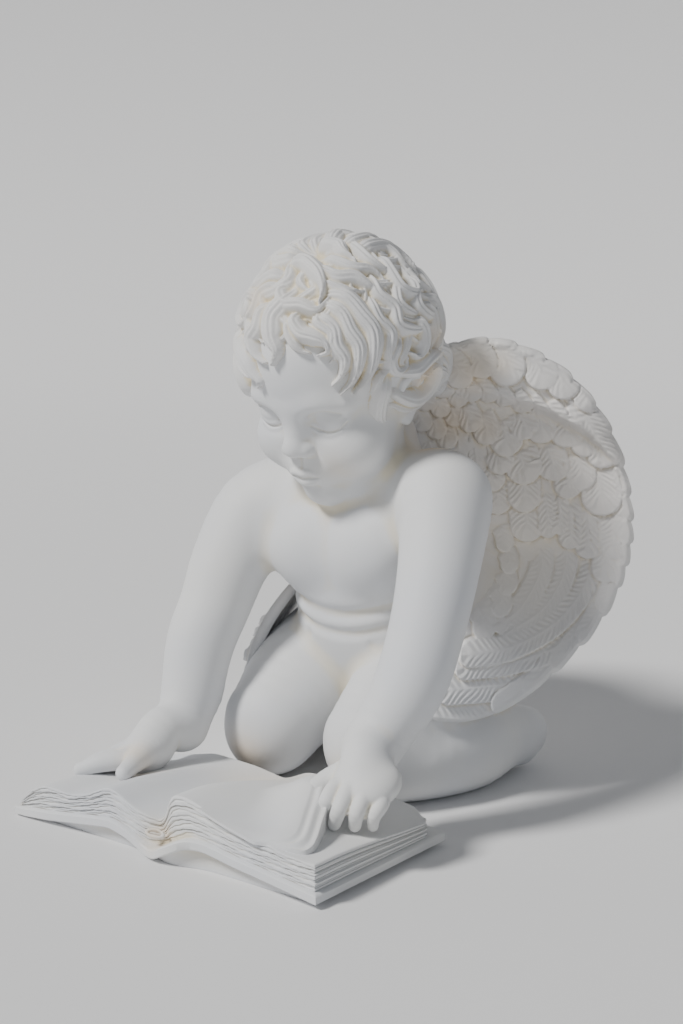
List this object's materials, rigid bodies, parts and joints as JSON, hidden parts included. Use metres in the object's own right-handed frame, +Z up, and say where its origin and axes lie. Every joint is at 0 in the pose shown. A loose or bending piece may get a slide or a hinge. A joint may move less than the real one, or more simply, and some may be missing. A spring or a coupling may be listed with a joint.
{
  "type": "angel statue",
  "caption": "White plaster statue of a kneeling winged cherub leaning over an open book, one hand flat on the page and one lifting a leaf.",
  "frame": {"origin": "on the ground, under the middle of the whole casting", "axes": "+Z up, -Y the way the cherub looks, over the book, +X its left side"},
  "size_m": [0.2344, 0.276, 0.307],
  "materials": {
    "white_plaster": "matte off-white cast plaster"
  },
  "bodies": {
    "root": {"angel_and_book": "white_plaster"}
  },
  "joints": []
}
